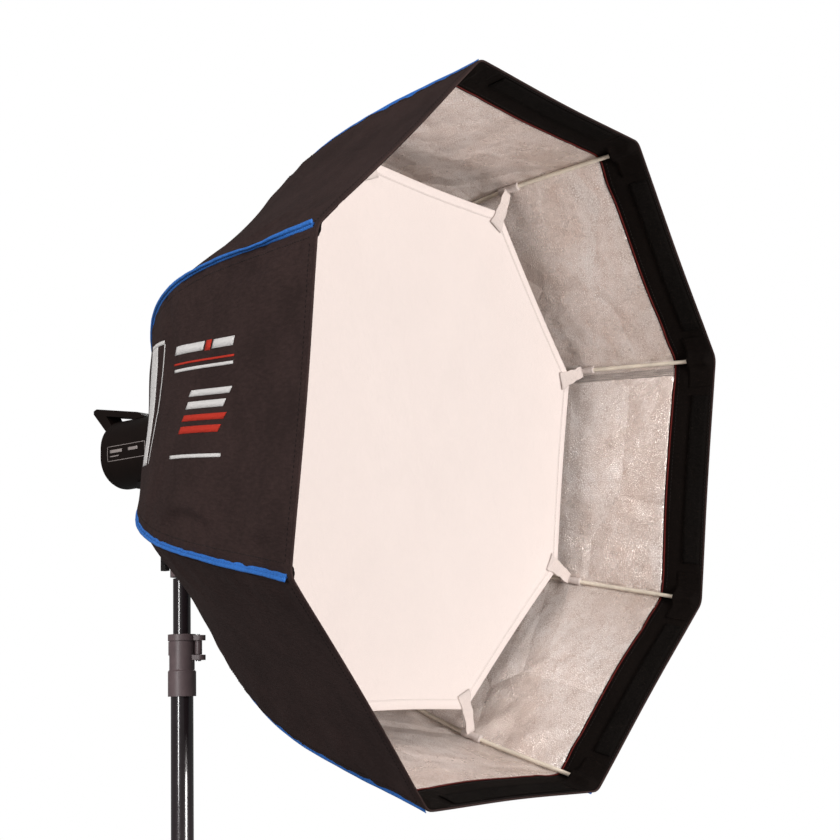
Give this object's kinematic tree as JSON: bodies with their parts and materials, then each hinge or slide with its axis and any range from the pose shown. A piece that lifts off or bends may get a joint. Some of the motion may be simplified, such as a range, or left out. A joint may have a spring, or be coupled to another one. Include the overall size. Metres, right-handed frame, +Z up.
{
  "type": "studio softbox on lamp and light stand",
  "caption": "Octagonal fabric softbox with bent ribs and inner diffuser, mounted on a continuous-light lamp head that tilts on a folding telescopic light stand.",
  "frame": {"origin": "on the floor at the centre line of the stand's column", "axes": "+Z up along the column; the softbox opens towards -Y, and -Y is also the direction of the first leg; +X is to the right seen from behind the lamp facing the way it shines"},
  "size_m": [1.0312, 0.8985, 1.7915],
  "materials": {
    "bare_alu": "satin anodised",
    "binding": "woven tape",
    "black_alu": "black anodised",
    "black_cloth": "plain weave, slight sheen",
    "black_plastic": "moulded, satin",
    "emitter": "phosphor",
    "frost": "frosted",
    "grey_plastic": "moulded, satin",
    "hook": "hook tape",
    "ivory_rod": "glass fibre, satin",
    "red_plastic": "gloss",
    "rubber": "matt",
    "screen": "gloss",
    "silver_cloth": "metallised, pebbled",
    "steel": "nickel plated",
    "white_cloth": "translucent, matt"
  },
  "bodies": {
    "base": {"leg_collar": "black_plastic", "leg_pins": "steel"},
    "leg_knob": {"leg_collar_knob": "black_plastic"},
    "column": {"column_tube": "black_alu", "brace_collar": "black_plastic", "column_plug": "black_plastic", "lower_clamp": "black_plastic", "lower_pin": "steel"},
    "lower_catch": {"lower_lever": "black_plastic"},
    "middle": {"middle_tube": "black_alu", "upper_clamp": "black_plastic", "upper_pin": "steel"},
    "upper_catch": {"upper_lever": "black_plastic"},
    "top": {"top_tube": "black_alu", "spigot": "steel"},
    "bracket": {"tilt_bracket": "black_plastic", "tilt_bolt": "steel"},
    "bracket_knob": {"spigot_knob": "black_plastic"},
    "tilt_catch": {"tilt_lever": "black_plastic"},
    "head": {"lamp_housing": "black_alu", "lamp_rear_cover": "black_plastic", "lamp_front_plate": "black_plastic", "heat_sink": "bare_alu", "led_module": "emitter", "glass_dome": "frost", "fan_frame": "black_plastic", "lamp_handle": "black_plastic", "lamp_screws": "steel", "display_window": "screen", "power_inlet": "black_plastic", "tilt_foot": "black_alu", "lamp_mount_ring": "steel", "mount_insert": "steel", "insert_retainer": "bare_alu"},
    "mount_catch": {"lamp_lock_slider": "steel"},
    "rocker": {"power_rocker": "red_plastic"},
    "dimmer": {"dimmer_knob": "black_plastic"},
    "button": {"mode_button": "grey_plastic"},
    "fan": {"fan_rotor": "black_plastic"},
    "softbox": {"outer_shell": "black_cloth", "silver_lining": "silver_cloth", "front_lip": "black_cloth", "hook_tape": "hook", "seam_binding": "binding", "rib_pockets": "black_cloth", "ribs": "ivory_rod", "inner_diffuser": "white_cloth", "diffuser_loops": "white_cloth", "rear_collar": "black_cloth", "speed_ring": "bare_alu"},
    "ring_knob": {"ring_lock_knob": "black_plastic"},
    "leg_1_body": {"leg_1": "black_alu", "foot_1": "rubber"},
    "brace_1_body": {"brace_1": "black_alu"},
    "leg_2_body": {"leg_2": "black_alu", "foot_2": "rubber"},
    "brace_2_body": {"brace_2": "black_alu"},
    "leg_3_body": {"leg_3": "black_alu", "foot_3": "rubber"},
    "brace_3_body": {"brace_3": "black_alu"}
  },
  "joints": [
    {"name": "legs_fold", "type": "slide", "parent": "base", "child": "column", "axis": [0, 0, -1], "range_m": [0, 0.2366]},
    {"name": "leg_knob_turn", "type": "hinge", "parent": "base", "child": "leg_knob", "pos_m": [0, 0.04, 0.41823], "axis": [0, 1, 0], "range_deg": [-180, 180]},
    {"name": "leg_1_hinge", "type": "hinge", "parent": "base", "child": "leg_1_body", "pos_m": [0, -0.038, 0.41823], "axis": [1, 0, 0], "range_deg": [0, 48]},
    {"name": "brace_1_hinge", "type": "hinge", "parent": "leg_1_body", "child": "brace_1_body", "pos_m": [0, -0.27759, 0.23769], "axis": [1, 0, 0], "range_deg": [-96, 0]},
    {"name": "leg_2_hinge", "type": "hinge", "parent": "base", "child": "leg_2_body", "pos_m": [0.03291, 0.019, 0.41823], "axis": [-0.5, 0.866, 0], "range_deg": [0, 48]},
    {"name": "brace_2_hinge", "type": "hinge", "parent": "leg_2_body", "child": "brace_2_body", "pos_m": [0.2404, 0.1388, 0.23769], "axis": [-0.5, 0.866, 0], "range_deg": [-96, 0]},
    {"name": "leg_3_hinge", "type": "hinge", "parent": "base", "child": "leg_3_body", "pos_m": [-0.03291, 0.019, 0.41823], "axis": [-0.5, -0.866, 0], "range_deg": [0, 48]},
    {"name": "brace_3_hinge", "type": "hinge", "parent": "leg_3_body", "child": "brace_3_body", "pos_m": [-0.2404, 0.1388, 0.23769], "axis": [-0.5, -0.866, 0], "range_deg": [-96, 0]},
    {"name": "lower_lever_swing", "type": "hinge", "parent": "column", "child": "lower_catch", "pos_m": [0.01307, -0.02013, 0.79], "axis": [0, 0, -1], "range_deg": [0, 105]},
    {"name": "middle_slide", "type": "slide", "parent": "column", "child": "middle", "axis": [0, 0, 1], "range_m": [-0.36, 0.08]},
    {"name": "upper_lever_swing", "type": "hinge", "parent": "middle", "child": "upper_catch", "pos_m": [0.01144, -0.01761, 1.229], "axis": [0, 0, -1], "range_deg": [0, 105]},
    {"name": "top_slide", "type": "slide", "parent": "middle", "child": "top", "axis": [0, 0, 1], "range_m": [-0.07, 0.42]},
    {"name": "bracket_pan", "type": "hinge", "parent": "top", "child": "bracket", "pos_m": [0, 0, 1.342], "axis": [0, 0, 1], "continuous": true},
    {"name": "bracket_knob_turn", "type": "hinge", "parent": "bracket", "child": "bracket_knob", "pos_m": [0, 0.03, 1.342], "axis": [0, 1, 0], "range_deg": [-180, 180]},
    {"name": "tilt_lever_turn", "type": "hinge", "parent": "bracket", "child": "tilt_catch", "pos_m": [0.024, 0, 1.4], "axis": [1, 0, 0], "range_deg": [-40, 25]},
    {"name": "head_tilt", "type": "hinge", "parent": "bracket", "child": "head", "pos_m": [0, 0, 1.4], "axis": [1, 0, 0], "range_deg": [-60, 20]},
    {"name": "mount_catch_slide", "type": "slide", "parent": "head", "child": "mount_catch", "axis": [1, 0, 0], "range_m": [0, 0.004], "stiffness_N_per_m": 600, "springref_m": -0.004},
    {"name": "rocker_tip", "type": "hinge", "parent": "head", "child": "rocker", "pos_m": [-0.022, 0.111, 1.484], "axis": [1, 0, 0], "range_deg": [-10, 0]},
    {"name": "dimmer_turn", "type": "hinge", "parent": "head", "child": "dimmer", "pos_m": [0.022, 0.118, 1.481], "axis": [0, 1, 0], "continuous": true},
    {"name": "button_push", "type": "slide", "parent": "head", "child": "button", "axis": [0, -1, 0], "range_m": [0, 0.0015], "stiffness_N_per_m": 400, "springref_m": -0.001},
    {"name": "fan_spin", "type": "hinge", "parent": "head", "child": "fan", "pos_m": [0, 0.083, 1.486], "axis": [0, -1, 0], "continuous": true},
    {"name": "softbox_turn", "type": "hinge", "parent": "head", "child": "softbox", "pos_m": [0, -0.06461, 1.47766], "axis": [0, -0.9925, -0.1219], "continuous": true},
    {"name": "ring_knob_turn", "type": "hinge", "parent": "softbox", "child": "ring_knob", "pos_m": [0, -0.07358, 1.5622], "axis": [0, -0.1219, 0.9925], "range_deg": [-180, 180]}
  ],
  "couplings": [
    {"joint": "leg_1_hinge", "follows": "legs_fold", "rad_per_m": 3.5408},
    {"joint": "brace_1_hinge", "follows": "legs_fold", "rad_per_m": -7.0816},
    {"joint": "leg_2_hinge", "follows": "legs_fold", "rad_per_m": 3.5408},
    {"joint": "brace_2_hinge", "follows": "legs_fold", "rad_per_m": -7.0816},
    {"joint": "leg_3_hinge", "follows": "legs_fold", "rad_per_m": 3.5408},
    {"joint": "brace_3_hinge", "follows": "legs_fold", "rad_per_m": -7.0816}
  ]
}
